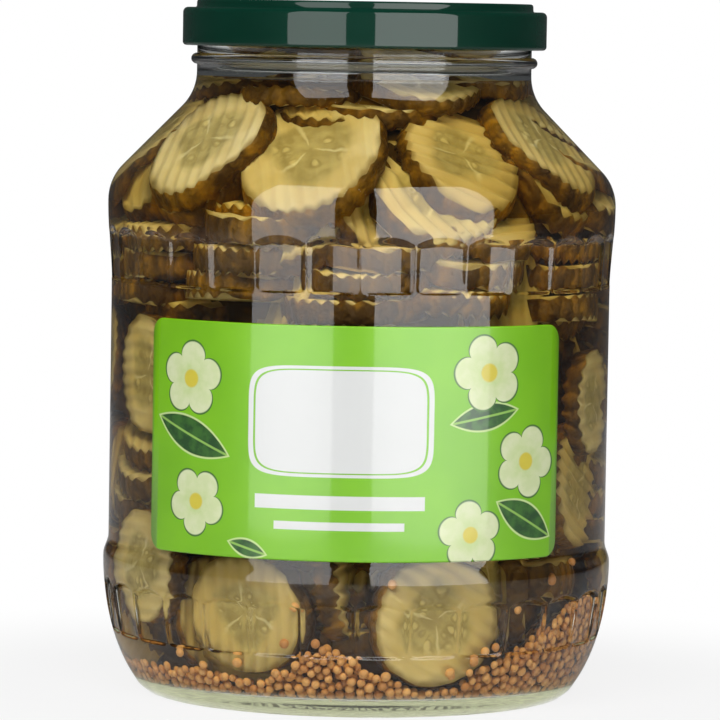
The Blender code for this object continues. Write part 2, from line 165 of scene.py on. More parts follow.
def joined_copies(name, pattern, placed, values, attribute, kind):
    """One mesh of many copies of a pattern. Each copy has an array of vertex places and one of values."""
    size = len(pattern.vertices)
    faces = [list(face.vertices) for face in pattern.polygons]
    mesh = bpy.data.meshes.new(name)
    every = [[corner + size * copy for corner in face] for copy in range(len(placed)) for face in faces]
    mesh.from_pydata(np.concatenate(placed), [], every)
    slots = np.array([face.material_index for face in pattern.polygons], dtype=np.int32)
    mesh.polygons.foreach_set("material_index", np.tile(slots, len(placed)))
    layer = mesh.attributes.new(attribute, kind, "POINT")
    layer.data.foreach_set("vector" if kind == "FLOAT_VECTOR" else "value", np.concatenate(values).ravel())
    return mesh


def corners_of(mesh):
    """The mesh's vertices as an array."""
    flat = np.empty(3 * len(mesh.vertices))
    mesh.vertices.foreach_get("co", flat)
    return flat.reshape(-1, 3)


def add_piece(name, mesh, materials, stands_for=None):
    """Makes a mesh a piece that rides on the jar."""
    for material in materials:
        mesh.materials.append(material)
    mesh.shade_smooth()
    piece = bpy.data.objects.new(name, mesh)
    bpy.context.scene.collection.objects.link(piece)
    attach(piece, "root")
    if stands_for:
        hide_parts(stands_for)
    return piece


def arc(centre, radii, start, end, steps):
    """Points (radius, height) on an elliptical arc, with angles in degrees from the outward direction."""
    angles = [math.radians(start + (end - start) * step / steps) for step in range(steps + 1)]
    return [(centre[0] + radii[0] * math.cos(a), centre[1] + radii[1] * math.sin(a)) for a in angles]


def evenly(low, high, step):
    """Heights from low to high, about a step apart."""
    count = max(1, round((high - low) / step))
    return [low + (high - low) * index / count for index in range(count + 1)]


def spun(profile, columns, wedges=30):
    """A closed turned bmesh from points (radius, height). One wedge is spun, then repeated round the axis."""
    bm = bmesh.new()
    vertices = [bm.verts.new((radius, 0, height)) for radius, height in profile]
    edges = [bm.edges.new(pair) for pair in zip(vertices, vertices[1:])]
    wedge = 2 * math.pi / wedges
    about = {"axis": (0, 0, 1), "cent": (0, 0, 0)}
    bmesh.ops.spin(bm, geom=vertices + edges, angle=wedge, steps=columns // wedges, **about)
    whole = bm.verts[:] + bm.edges[:] + bm.faces[:]
    rest = {"angle": wedge * (wedges - 1), "steps": wedges - 1, "use_duplicate": True}
    bmesh.ops.spin(bm, geom=whole, **rest, **about)
    bmesh.ops.remove_doubles(bm, verts=bm.verts, dist=0.000001)
    bmesh.ops.recalc_face_normals(bm, faces=bm.faces)
    return bm


# Shader nodes


class Value:
    """One output of a material's nodes. Arithmetic on it adds Math nodes."""

    def __init__(self, sheet, socket):
        self.sheet = sheet
        self.socket = socket

    def maths(self, operation, first, second=0.0, third=0.0):
        settings = {"operation": operation}
        return self.sheet.node("ShaderNodeMath", settings, {0: first, 1: second, 2: third})

    def __add__(self, other):
        return self.maths("ADD", self, other)

    __radd__ = __add__

    def __sub__(self, other):
        return self.maths("SUBTRACT", self, other)

    def __rsub__(self, other):
        return self.maths("SUBTRACT", other, self)

    def __mul__(self, other):
        return self.maths("MULTIPLY", self, other)

    __rmul__ = __mul__

    def __truediv__(self, other):
        return self.maths("DIVIDE", self, other)

    def __pow__(self, other):
        return self.maths("POWER", self, other)

    def __abs__(self):
        return self.maths("ABSOLUTE", self)

    def sine(self):
        return self.maths("SINE", self)

    def higher_of(self, other):
        return self.maths("MAXIMUM", self, other)

    def rise(self, low, high):
        """0 below low, 1 above high, and smooth between them. It falls where low is the larger."""
        settings = {"interpolation_type": "SMOOTHSTEP"}
        sockets = {"Value": self, "From Min": low, "From Max": high, "To Min": 0.0, "To Max": 1.0}
        return self.sheet.node("ShaderNodeMapRange", settings, sockets)


class Sheet:
    """The nodes of one material."""

    def __init__(self, name):
        self.material = bpy.data.materials.new(name)
        self.material.use_nodes = True
        self.tree = self.material.node_tree
        self.tree.nodes.clear()

    def node(self, kind, settings, sockets, output=0):
        """Adds a node: its settings first, then the value or link of each socket."""
        made = self.tree.nodes.new(kind)
        for name, setting in settings.items():
            if name == "stops":
                self.set_stops(made.color_ramp, setting)
            else:
                setattr(made, name, setting)
        for key, given in sockets.items():
            if isinstance(given, Value):
                self.tree.links.new(given.socket, made.inputs[key])
            else:
                made.inputs[key].default_value = given
        return Value(self, made.outputs[output])

    def set_stops(self, ramp, stops):
        while len(ramp.elements) < len(stops):
            ramp.elements.new(0.5)
        for element, (place, colour) in zip(ramp.elements, stops):
            element.position = place
            element.color = (*colour, 1)

    def own_place(self):
        """Object coordinates."""
        return self.node("ShaderNodeTexCoord", {}, {}, "Object")

    def attribute(self, name):
        return self.node("ShaderNodeAttribute", {"attribute_name": name}, {}, "Vector")

    def parts(self, vector):
        """The three numbers of a vector."""
        return [self.node("ShaderNodeSeparateXYZ", {}, {0: vector}, axis) for axis in range(3)]

    def vector(self, x, y, z):
        return self.node("ShaderNodeCombineXYZ", {}, {0: x, 1: y, 2: z})

    def stretched(self, vector, scale, shift=(0, 0, 0)):
        return self.node("ShaderNodeMapping", {}, {"Vector": vector, "Location": shift, "Scale": scale})

    def cloud(self, vector, scale, detail=2.0, roughness=0.5):
        sockets = {"Vector": vector, "Scale": scale, "Detail": detail, "Roughness": roughness}
        return self.node("ShaderNodeTexNoise", {}, sockets)

    def blend(self, share, first, second):
        """Mixes two colours: the first where share is 0."""
        settings = {"data_type": "RGBA"}
        colours = [c if isinstance(c, Value) else (*c, 1) for c in (first, second)]
        return self.node("ShaderNodeMix", settings, {0: share, 6: colours[0], 7: colours[1]}, 2)

    def bump(self, height, strength, distance):
        return self.node("ShaderNodeBump", {}, {"Height": height, "Strength": strength, "Distance": distance})

    def surface(self, shader, volume=None):
        sockets = {"Surface": shader}
        if volume:
            sockets["Volume"] = volume
        made = self.tree.nodes.new("ShaderNodeOutputMaterial")
        for key, given in sockets.items():
            self.tree.links.new(given.socket, made.inputs[key])
        return self.material

    def principled(self, **sockets):
        """A Principled shader whose sockets are named with underscores for spaces."""
        named = {name.replace("_", " "): given for name, given in sockets.items()}
        return self.node("ShaderNodeBsdfPrincipled", {}, named)


# Clear materials


def clear_material(name, index, tint, murk=None, murk_density=0.0, mirrors=True):
    """A clear material that lets shadow rays and diffuse light straight through. Murk colours its depth."""
    sheet = Sheet(name)
    sockets = {"Base Color": (*tint, 1), "Roughness": 0.0, "IOR": index, "Transmission Weight": 1.0}
    if not mirrors:
        sockets["Specular Tint"] = (0, 0, 0, 1)
    clear = sheet.node("ShaderNodeBsdfPrincipled", {}, sockets)
    open_way = sheet.node("ShaderNodeBsdfTransparent", {}, {0: (*tint, 1)})
    diffuse = sheet.node("ShaderNodeLightPath", {}, {}, "Is Diffuse Ray")
    shadow = sheet.node("ShaderNodeLightPath", {}, {}, "Is Shadow Ray")
    inner = sheet.node("ShaderNodeMixShader", {}, {0: diffuse, 1: clear, 2: open_way})
    outer = sheet.node("ShaderNodeMixShader", {}, {0: shadow, 1: inner, 2: open_way})
    volume = None
    if murk:
        volume = sheet.node("ShaderNodeVolumeAbsorption", {}, {"Color": (*murk, 1), "Density": murk_density})
    return sheet.surface(outer, volume)


# The glass


def heel_radius(height, inset=0.0):
    """Radius of the heel's elliptical curve, or of one parallel to it inside the wall."""
    share = (HEEL_TOP - height) / (HEEL_RISE - inset)
    return LOWER_BULGE_RADIUS - HEEL_DEPTH + (HEEL_DEPTH - inset) * math.sqrt(max(0.0, 1 - share * share))


def eased(start, end, share):
    """From start to end along half a cosine wave."""
    return start + (end - start) * (0.5 - 0.5 * math.cos(math.pi * min(1.0, max(0.0, share))))


def side_radius(height):
    """Radius of the glass's outer side between the heel and the shoulder, without the windows."""
    if height < HEEL_TOP:
        return heel_radius(height)
    if height < PANEL_TOP:
        return eased(LOWER_BULGE_RADIUS, PANEL_RADIUS, (height - HEEL_TOP) / (PANEL_BOTTOM - HEEL_TOP))
    return eased(PANEL_RADIUS, UPPER_BULGE_RADIUS, (height - PANEL_TOP) / (UPPER_BULGE_HEIGHT - PANEL_TOP))


def shoulder(inset, steps):
    """The shoulder from the bulge up to the neck: a rounding, a sloping cone and the opposite rounding."""
    outer_curve = SHOULDER_CURVE - inset
    inner_curve = SHOULDER_CURVE + inset
    middle = (UPPER_BULGE_RADIUS - inset - outer_curve, UPPER_BULGE_HEIGHT)
    lower = arc(middle, (outer_curve, outer_curve), 0, SHOULDER_SLOPE, steps)
    middle = (NECK_RADIUS - inset + inner_curve, NECK_BOTTOM)
    upper = arc(middle, (inner_curve, inner_curve), 180 + SHOULDER_SLOPE, 180, steps)
    return lower + upper


def belt_heights(low, high):
    """Heights through a belt of windows, close together where the windows begin and end."""
    heights = evenly(low - 0.3 * MM, low + 2.1 * MM, 0.3 * MM)
    heights += evenly(low + 3 * MM, high - 2.9 * MM, 1.1 * MM)
    return heights + evenly(high - 2.1 * MM, high + 1.9 * MM, 0.36 * MM)


def outer_glass():
    """The glass's outer side, from the middle of the foot up to the rim."""
    points = [(out * FOOT_INNER_RADIUS, up * PUSH_UP) for out, up in PUSH_UP_DOME]
    points += [(FOOT_INNER_RADIUS - 0.8 * MM, 0.5 * MM)]
    points += [(FOOT_INNER_RADIUS + 0.6 * MM, 0), (FOOT_OUTER_RADIUS - 0.5 * MM, 0)]
    points += [(FOOT_OUTER_RADIUS + 0.5 * MM, 0.3 * MM), (SEAM_RADIUS - 0.4 * MM, SEAM_HEIGHT - 0.5 * MM)]
    points += [(SEAM_RADIUS, SEAM_HEIGHT)]
    heights = evenly(3.4 * MM, 14.4 * MM, 1.3 * MM) + belt_heights(*WINDOW_BELTS[0])
    heights += evenly(31.4 * MM, PANEL_BOTTOM, 0.9 * MM) + evenly(46 * MM, 96 * MM, 12 * MM)
    heights += evenly(PANEL_TOP, 103.2 * MM, 0.75 * MM) + belt_heights(*WINDOW_BELTS[1])
    points += [(side_radius(height), height) for height in heights + [120.2 * MM, 121.6 * MM, 122.8 * MM]]
    points += shoulder(0, 11)
    points += arc((NECK_RADIUS, BEAD_HEIGHT), (BEAD_RADIUS - NECK_RADIUS, BEAD_HALF), -90, 90, 9)
    points += [(NECK_RADIUS, GLASS_TOP - 6 * MM)]
    rim_centre = (NECK_RADIUS - RIM_ROUNDING, GLASS_TOP - RIM_ROUNDING)
    return points + arc(rim_centre, (RIM_ROUNDING, RIM_ROUNDING), 0, 90, 3)


def inner_glass():
    """The glass's inner side, from the middle of the floor up to the rim."""
    edge = heel_radius(FLOOR_EDGE, WALL)
    points = [(0, FLOOR_CROWN), (edge - 14 * MM, FLOOR_EDGE + 0.4 * MM), (edge - 5 * MM, FLOOR_EDGE)]
    points += [(edge - 2 * MM, FLOOR_EDGE + 0.35 * MM)]
    heights = (6.4 * MM, 8.5 * MM, 11 * MM, 14.5 * MM, 19 * MM, 24 * MM, 29 * MM)
    points += [(heel_radius(height, WALL), height) for height in heights]
    straight = PANEL_RADIUS - WALL
    points += [(straight, HEEL_TOP), (straight, 113.7 * MM), (straight + 0.4 * MM, 118 * MM)]
    points += shoulder(WALL, 6)
    mouth = NECK_RADIUS - WALL
    points += [(mouth, GLASS_TOP - RIM_ROUNDING), (mouth + RIM_ROUNDING, GLASS_TOP)]
    return points


def inner_radius(height):
    """Radius of the glass's inner wall at a height."""
    wall = INNER_WALL
    for (r0, z0), (r1, z1) in zip(wall, wall[1:]):
        if z0 <= height <= z1 and z1 > z0:
            return r0 + (r1 - r0) * (height - z0) / (z1 - z0)
    return wall[0][0] if height < wall[0][1] else wall[-1][0]


INNER_WALL = inner_glass()[3:]


def step_up(distance, width):
    """0 below zero, 1 above the width, and smooth between."""
    share = min(1.0, max(0.0, distance / width))
    return share * share * (3 - 2 * share)


def window_radius(azimuth, height, radius):
    """The outer radius after the windows are pressed in."""
    for low, high in WINDOW_BELTS:
        if not low - 1 * MM < height < high + 3 * MM:
            continue
        pitch = 360 / WINDOWS
        turn = math.radians(((azimuth / pitch) % 1 - 0.5) * pitch)
        base = side_radius(low) + WINDOW_FOLLOW * (side_radius(min(height, high)) - side_radius(low))
        across = base * math.sin(turn)
        bow = max(0.0, 1 - (across / WINDOW_HALF_WIDTH) ** 2)
        over_side = abs(across) - (WINDOW_HALF_WIDTH - WINDOW_CORNER)
        below = (low + WINDOW_CORNER) - height
        corner = math.hypot(max(over_side, 0), max(below, 0)) + min(max(over_side, below), 0)
        mask = step_up(WINDOW_CORNER - corner, WINDOW_EDGE)
        brow = high + (2 * bow - 1) * WINDOW_BROW - height
        mask *= step_up(brow, WINDOW_EDGE + WINDOW_BROW_SLOPE * bow)
        edge = math.sqrt(base * base - WINDOW_HALF_WIDTH ** 2) - WINDOW_STEP
        depth = edge + (across * across - WINDOW_HALF_WIDTH ** 2) / (2 * WINDOW_HOLLOW)
        return radius + mask * min(0.0, depth / math.cos(turn) - radius)
    return radius


def stippled_material():
    """The stippled underside, which lets the floor's painted glow under the jar show through in streaks."""
    sheet = Sheet("stippled_glass")
    x, y, _ = sheet.parts(sheet.own_place())
    around = sheet.vector(x.maths("ARCTAN2", y, x) * 9, (x * x + y * y) ** 0.5 * 900, 0.0)
    streaks = sheet.cloud(around, 1.0, 3.0)
    clear = sheet.principled(Roughness=0.1, IOR=GLASS_INDEX, Transmission_Weight=1.0)
    open_way = sheet.node("ShaderNodeBsdfTransparent", {}, {0: (0.67, 0.70, 0.43, 1)})
    share = streaks.rise(0.40, 0.60) * 0.65 + 0.15
    return sheet.surface(sheet.node("ShaderNodeMixShader", {}, {0: share, 1: clear, 2: open_way}))


def make_glass():
    profile = inner_glass() + outer_glass()[::-1]
    bm = spun(profile, GLASS_COLUMNS)
    middle_of_wall = WALL / 2
    pitch = 2 * math.pi / WINDOWS
    for vertex in bm.verts:
        radius = vertex.co.xy.length
        share = (math.radians(azimuth_of(vertex.co)) / pitch) % 1 - 0.5
        gather = pitch * (0.5 * math.sin(math.pi * share) - share)  # towards the bars between windows
        vertex.co.xy = vertex.co.xy @ Matrix.Rotation(-gather, 2)
        low, high = PRESSED_SPAN
        if radius < inner_radius(vertex.co.z) + middle_of_wall or not low < vertex.co.z < high:
            continue
        pressed = window_radius(azimuth_of(vertex.co), vertex.co.z, radius)
        vertex.co.xy *= pressed / radius
    for face in bm.faces:
        centre = face.calc_center_median()
        inside = centre.xy.length < inner_radius(centre.z) + 0.5 * MM
        face.material_index = 1 if inside and WETTED_LOW < centre.z < BRINE_LEVEL else 0
        if centre.z < PUSH_UP and centre.xy.length < FOOT_OUTER_RADIUS:
            face.material_index = 2
    clear = clear_material("clear_glass", GLASS_INDEX, (0.965, 0.985, 0.97))
    wetted = clear_material("wetted_glass", GLASS_INDEX, (0.99, 1, 0.992), mirrors=False)
    materials = [clear, wetted, stippled_material()]
    return add_piece("clear_jar", mesh_of("clear_jar", bm), materials, "glass_jar")


def make_brine():
    """The brine, up to its level in the neck. It reaches just into the wall, so that no air shows."""
    points = [(0, FLOOR_CROWN + BRINE_FLOOR_GAP)]
    for radius, height in inner_glass()[1:]:
        if height < BRINE_FLOOR_EDGE:
            points.append((radius, height + BRINE_FLOOR_GAP))
        elif height < BRINE_LEVEL:
            points.append((radius + BRINE_REACH, height))
    points += [(inner_radius(BRINE_LEVEL) + BRINE_REACH, BRINE_LEVEL), (0, BRINE_LEVEL)]
    brine = clear_material("brine", BRINE_INDEX, (1, 1, 1), (0.93, 0.78, 0.08), 45.0, mirrors=False)
    return add_piece("brine", mesh_of("brine", spun(points, BRINE_COLUMNS)), [brine])


# The slices

# Slices that show at the front, in degrees and millimetres: azimuth and height of the middle, lean of the
# face above level, turn of the face to the side, radius, turn of the crinkle, and depth behind the wall.
FRONT_SLICES = (
    (-62, 34.1, 0, 0, 15.0, 90, 0),
    (-27, 25.5, -5, -4, 15.8, 0, 0),
    (-30, 22.6, -5, -4, 15.3, 90, 6.9),
    (20, 24.6, -4, 3, 16.5, 60, 0),
    (37, 31.0, 0, 10, 13.5, 0, 6.0),
    (-4, 31.6, 8, 78, 14.0, 90, 0),
    (-62, 81.6, 0, -6, 15.8, 90, 0),
    (75, 75.6, 2, 8, 14.0, 90, 0),
    (-72, 131.4, 42, -8, 16.0, 60, 5.0),
    (-52, 136.2, 44, -2, 17.0, 25, 0),
    (-52, 131.9, 44, -2, 17.0, 70, 5.7),
    (-15.5, 133.8, 50, -14, 20.0, 30, 0),
    (-24, 121.5, 46, -8, 18.5, 30, 2.5),
    (30, 153.4, 70, 0, 16.0, 20, 0),
    (10, 144.2, 86, 0, 17.0, 50, 4.0),
    (-34, 148.0, 98, 0, 15.0, 20, 1.0),
    (31, 132.6, 46, 10, 15.5, 60, 5.0),
    (66, 136.4, 44, 4, 17.0, -30, 0),
    (66, 131.4, 44, 4, 17.0, 20, 5.2),
    (21, 124.6, 52, 8, 16.0, 20, 0),
)
# Rows of slices round the rest of the wall: height of the middle, how many places, how likely it is that a
# place holds one slice that faces the wall and not a pile, and how likely it is that a pile lies flat.
ROWS = ((27, 11, 0.6, 0.7), (55, 11, 0.4, 0.7), (83, 11, 0.45, 0.7), (110, 11, 0.0, 1.0), (134, 10, 0.5, 0.7))
# The azimuths in each row that the front slices take up
TAKEN = ((-75, 88), (-30, 30), (-72, 80), (-30, -20), (-76, 70))
PILE = 3  # slices in a pile
PILE_RISE = 8.2  # from one middle to the next, in millimetres
PILE_LEAN = 79
PILE_FAN = 6  # how much less each slice leans than the one below it
PILE_TURN = 9  # from one slice to the next in a pile that stands
PILE_SHIFT = 0.2  # how far a pile lies above or below its row, for each degree of its swing
NECK_SLICES = ((-98, 151), (-150, 153), (120, 152), (75, 155))
NECK_LEAN, NECK_SLICE_RADIUS = 78, 15.5 * MM
# Slices behind those at the wall: rows' heights, places to a row, and depth behind the wall
DEEP_ROWS = (22, 42, 62, 82, 102, 122, 140)
DEEP_PLACES = 7
DEEP_DEPTH = 6.5
# More of them low at the front: azimuth, height, lean, turn, radius, crinkle and depth
FRONT_DEEP = (
    (52, 30, 5, 55, 15, 0, 4.5),
    (60, 33, 85, 0, 15, 40, 4.0),
    (-45, 24, 0, 60, 14, 0, 5.0),
    (-1, 20, 82, 0, 13, 60, 6.0),
    (-8, 33, 70, 0, 14, 20, 7.5),
)


def slice_at(azimuth, height, lean, turn, radius, crinkle, depth=0.0):
    """A slice pressed against the wall, or a depth behind it: middle, facing, radius and crinkle's turn."""
    out = outward(azimuth)
    facing = outward(azimuth + turn)
    angle = math.radians(lean)
    normal = (facing * math.cos(angle) + Vector((0, 0, math.sin(angle)))).normalized()
    across = normal.orthogonal().normalized()
    along = normal.cross(across)
    centre = out * (inner_radius(height) - depth) + Vector((0, 0, height))
    steps = [2 * math.pi * point / RIM_POINTS for point in range(RIM_POINTS)]
    spokes = [radius * (across * math.cos(step) + along * math.sin(step)) for step in steps]
    rim = [spoke + side * normal * SLICE_THICKNESS / 2 for spoke in spokes for side in (-1, 1)]
    floor = FLOOR_CROWN + CLEARANCE
    for _ in range(12):
        lowest = min((centre + point).z for point in rim)
        highest = max((centre + point).z for point in rim)
        centre.z += max(0.0, floor - lowest) - max(0.0, highest - SLICE_TOP)
        over = max((centre + p).xy.length - (inner_radius((centre + p).z) - depth - CLEARANCE) for p in rim)
        if over <= 0:
            break
        centre -= out * over
    return centre, normal, radius, crinkle


def lay_slices(draw):
    """Every slice at the wall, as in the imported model."""
    slices = []
    for azimuth, height, lean, turn, radius, crinkle, depth in FRONT_SLICES:
        slices.append(slice_at(azimuth, height * MM, lean, turn, radius * MM, crinkle, depth * MM))
    for (height, places, facing_share, flat_share), (first, last) in zip(ROWS, TAKEN):
        for place in range(places):
            azimuth = -180 + 360 * (place + draw.uniform(0.35, 0.65)) / places
            radius = draw.uniform(14.0, 17.5) * MM
            faces = draw.random() < facing_share
            flat = draw.random() < flat_share
            tip = draw.uniform(-14, 14)
            swing = draw.uniform(-16, 16)
            if first < azimuth < last:
                continue
            lean = 40 if height > 125 else 0
            if faces:
                slices.append(slice_at(azimuth, height * MM, lean + tip, swing, radius, 60 * place))
                continue
            for level in range(PILE):
                step = level - (PILE - 1) / 2
                crinkle = 50 * level + 30 * place
                if flat:
                    middle = (height + PILE_RISE * step + PILE_SHIFT * swing) * MM
                    fanned = PILE_LEAN + tip - PILE_FAN * step
                    slices.append(slice_at(azimuth + 4 * step, middle, fanned, swing, radius, crinkle))
                else:
                    middle = azimuth + PILE_TURN * step
                    slices.append(slice_at(middle, height * MM, tip, 90 + swing, radius, crinkle))
    for azimuth, height in NECK_SLICES:
        slices.append(slice_at(azimuth, height * MM, NECK_LEAN, 0, NECK_SLICE_RADIUS, 40))
    return slices


def deep_slices(draw):
    """Slices behind those at the wall, which show in the gaps."""
    slices = []
    for height in DEEP_ROWS:
        for place in range(DEEP_PLACES):
            azimuth = 360 * (place + draw.uniform(0, 0.9)) / DEEP_PLACES
            lean = draw.choice((20, 60, 80, 84, 95))
            middle = (height + draw.uniform(-3, 3)) * MM
            swing, radius = draw.uniform(-40, 40), draw.uniform(14, 17) * MM
            slices.append(slice_at(azimuth, middle, lean, swing, radius, 30 * place, DEEP_DEPTH * MM))
    for azimuth, height, lean, turn, radius, crinkle, depth in FRONT_DEEP:
        slices.append(slice_at(azimuth, height * MM, lean, turn, radius * MM, crinkle, depth * MM))
    return slices


def slice_pattern(columns, rows):
    """A closed blank for one slice: two faces from -1 to 1 each way, one unit apart, and a banded side."""
    bm = bmesh.new()
    bmesh.ops.create_grid(bm, x_segments=columns, y_segments=rows, size=1.0)
    bmesh.ops.translate(bm, vec=(0, 0, -0.5), verts=bm.verts)
    raised = bmesh.ops.extrude_face_region(bm, geom=bm.faces[:], use_keep_orig=True)
    moved = [item for item in raised["geom"] if isinstance(item, bmesh.types.BMVert)]
    bmesh.ops.translate(bm, vec=(0, 0, 1), verts=moved)
    upright = [edge for edge in bm.edges if abs(edge.verts[0].co.z - edge.verts[1].co.z) > 0.5]
    bmesh.ops.subdivide_edges(bm, edges=upright, cuts=2, use_grid_fill=True)
    bmesh.ops.recalc_face_normals(bm, faces=bm.faces)
    for face in bm.faces:
        face.material_index = 0 if abs(abs(face.calc_center_median().z) - 0.5) < 0.01 else 1
    return mesh_of("slice_pattern", bm)


def slice_shape(pattern, place, number, draw):
    """One crinkle-cut slice: where the pattern's vertices go, and each one's place on the slice."""
    centre, normal, radius, crinkle = place
    oval, lobes = draw.uniform(0.0, 0.05), draw.uniform(0.0, 0.02)
    oval_turn, lobe_turn = draw.uniform(0, 6.28), draw.uniform(0, 6.28)
    phase, cup = draw.uniform(0, 6.28), draw.uniform(-1.0, 1.0) * MM
    ridge = draw.uniform(*CRINKLE_DEPTHS)
    thickness = SLICE_THICKNESS * draw.uniform(0.94, 1.0) - 1.2 * ridge
    spin = Matrix.Rotation(math.radians(crinkle), 4, "Z")
    lay = Matrix.Translation(centre) @ normal.to_track_quat("Z", "Y").to_matrix().to_4x4() @ spin
    across, along, side = pattern.T
    x = 0.97 * across
    y = along * np.sqrt(1 - x * x)
    angle = np.arctan2(y, x)
    reach = np.hypot(x, y)
    trim = 0.98 - oval * (1 + np.cos(2 * angle + oval_turn)) - lobes * (1 + np.cos(3 * angle + lobe_turn))
    bulge = np.where(reach > 0.9, 0.35 * MM * (1 - 4 * side * side), 0)
    wave = ridge * (0.4 + 0.6 * reach ** 5) * np.cos(2 * math.pi * x * radius / CRINKLE_PITCH + phase)
    wave += 0.2 * MM * np.sin(3.1 * x + 2.3 * y + number) * np.cos(4.3 * y - 1.7 * x + 2 * number)
    size = radius * trim + bulge
    height = side * thickness + wave + cup * (reach * reach - 0.5)
    points = np.stack([x * size, y * size, height, np.ones_like(x)])
    return (np.array(lay) @ points)[:3].T, np.stack([x, y, np.full_like(x, number)], axis=1)


def flesh_material():
    """The cut faces: a pale ring of flesh round a greyer, three-lobed middle with seeds and pale threads."""
    sheet = Sheet("slice_flesh")
    x, y, number = sheet.parts(sheet.attribute("place"))
    own = sheet.vector(x, y, number * 7.3)
    soft = sheet.cloud(own, 2.2, 3.0)
    reach = (x * x + y * y) ** 0.5 + (soft - 0.5) * 0.22
    angle = x.maths("ARCTAN2", y, x) + number * 2.1
    lobes = (angle * 3).sine()
    middle = (reach - lobes * 0.07).rise(0.66, 0.44)
    threads = abs((angle * 1.5 + soft).sine()).rise(0.2, 0.02)
    threads *= reach.rise(0.62, 0.4) * reach.rise(0.02, 0.12)
    around = sheet.vector(angle * 1.9, reach * 4.2, number)
    cells = sheet.node("ShaderNodeTexVoronoi", {}, {"Vector": around, "Scale": 1.0, "Randomness": 0.75})
    belt = reach.rise(0.16, 0.26) * reach.rise(0.56, 0.44)
    pips = cells.rise(0.36, 0.22) * belt
    rims = cells.rise(0.3, 0.42) * cells.rise(0.56, 0.44) * belt
    tone = sheet.cloud(sheet.vector(number * 3.1, 0.5, 0.5), 1.7)
    flesh = sheet.blend(tone.rise(0.38, 0.62), (0.62, 0.46, 0.19), (0.72, 0.58, 0.31))
    flesh = sheet.blend(sheet.cloud(own, 1.6, 3.0).rise(0.35, 0.7) * 0.5, flesh, (0.52, 0.36, 0.11))
    grey = sheet.blend(sheet.cloud(own, 4.0, 3.0).rise(0.3, 0.7), (0.30, 0.235, 0.09), (0.47, 0.38, 0.17))
    colour = sheet.blend(middle * 0.8, flesh, grey)
    colour = sheet.blend(rims * 0.35, colour, (0.26, 0.19, 0.06))
    colour = sheet.blend(pips * 0.65, colour, (0.70, 0.57, 0.28))
    colour = sheet.blend(threads * 0.55, colour, (0.82, 0.72, 0.46))
    colour = sheet.blend(reach.rise(0.88, 1.0) * 0.75, colour, (0.20, 0.12, 0.015))
    height = pips * 0.5 - middle * 0.6 + soft * 0.8
    shader = sheet.principled(
        Base_Color=colour,
        Roughness=0.35,
        Specular_IOR_Level=0.08,
        Subsurface_Weight=0.25,
        Subsurface_Radius=(1.0, 0.7, 0.25),
        Subsurface_Scale=0.003,
        Normal=sheet.bump(height, 0.5, 0.0008),
    )
    return sheet.surface(shader)


def skin_material():
    """The slices' edges: olive-brown to golden skin with uneven fluting and small warts."""
    sheet = Sheet("slice_skin")
    x, y, number = sheet.parts(sheet.attribute("place"))
    place = sheet.own_place()
    shade = sheet.cloud(place, 130.0, 3.0, 0.6)
    own = sheet.cloud(sheet.vector(number * 3.7, number, 0.0), 1.0)
    angle = x.maths("ARCTAN2", y, x)
    flutes = (angle * 21 + shade * 14).sine() * 0.5 + 0.5
    brown = sheet.blend(shade.rise(0.36, 0.66), (0.050, 0.020, 0.001), (0.34, 0.155, 0.004))
    brown = sheet.blend(own.rise(0.4, 0.66) * 0.7, brown, (0.11, 0.052, 0.004))
    colour = sheet.blend(flutes * 0.5, brown, (0.040, 0.017, 0.001))
    warts = sheet.cloud(place, 600.0, 2.0)
    shader = sheet.principled(
        Base_Color=colour,
        Roughness=0.4,
        Specular_IOR_Level=0.08,
        Subsurface_Weight=0.1,
        Subsurface_Radius=(1.0, 0.5, 0.1),
        Subsurface_Scale=0.002,
        Normal=sheet.bump(flutes * 0.7 + shade * 0.8 + warts * 0.5, 0.8, 0.001),
    )
    return sheet.surface(shader)


def deep_material():
    """What lies behind the gaps: more skin and flesh, in the dark."""
    sheet = Sheet("deep_slices")
    place = sheet.stretched(sheet.own_place(), (1, 1, 2.2))
    patches = sheet.cloud(place, 55.0, 3.0)
    colour = sheet.blend(patches.rise(0.42, 0.62), (0.045, 0.022, 0.002), (0.22, 0.115, 0.010))
    bump = sheet.bump(patches, 1.0, 0.004)
    shader = sheet.principled(Base_Color=colour, Roughness=0.6, Specular_IOR_Level=0.05, Normal=bump)
    return sheet.surface(shader)


def make_slices(slices):
    draw = random.Random(RANDOM_SEED + 1)
    pattern = slice_pattern(SLICE_COLUMNS, SLICE_ROWS)
    corners = corners_of(pattern)
    shapes = [slice_shape(corners, place, number, draw) for number, place in enumerate(slices)]
    mesh = joined_copies("slices", pattern, *zip(*shapes), "place", "FLOAT_VECTOR")
    return add_piece("slices", mesh, [flesh_material(), skin_material()], "pickle_slices")


def make_core():
    """The heap's own core, rough and dark, behind the slices."""
    points = [(0, CORE_HEIGHTS[0] + 2 * MM)]
    for high, low in zip(CORE_HEIGHTS, CORE_HEIGHTS[1:]):
        points += [(inner_radius(z) - CORE_INSET, z) for z in evenly(low, high, 3 * MM)[:0:-1]]
    points += [(inner_radius(CORE_HEIGHTS[-1]) - CORE_INSET, CORE_HEIGHTS[-1]), (0, CORE_HEIGHTS[-1])]
    bm = spun(points, CORE_COLUMNS)
    for vertex in bm.verts:
        rough = noise.noise(vertex.co / (9 * MM)) + 0.5 * noise.noise(vertex.co / (4 * MM))
        vertex.co.xy *= 1 + 0.05 * rough
    return add_piece("slices_core", mesh_of("slices_core", bm), [deep_material()], "pickle_slices")


# The seeds


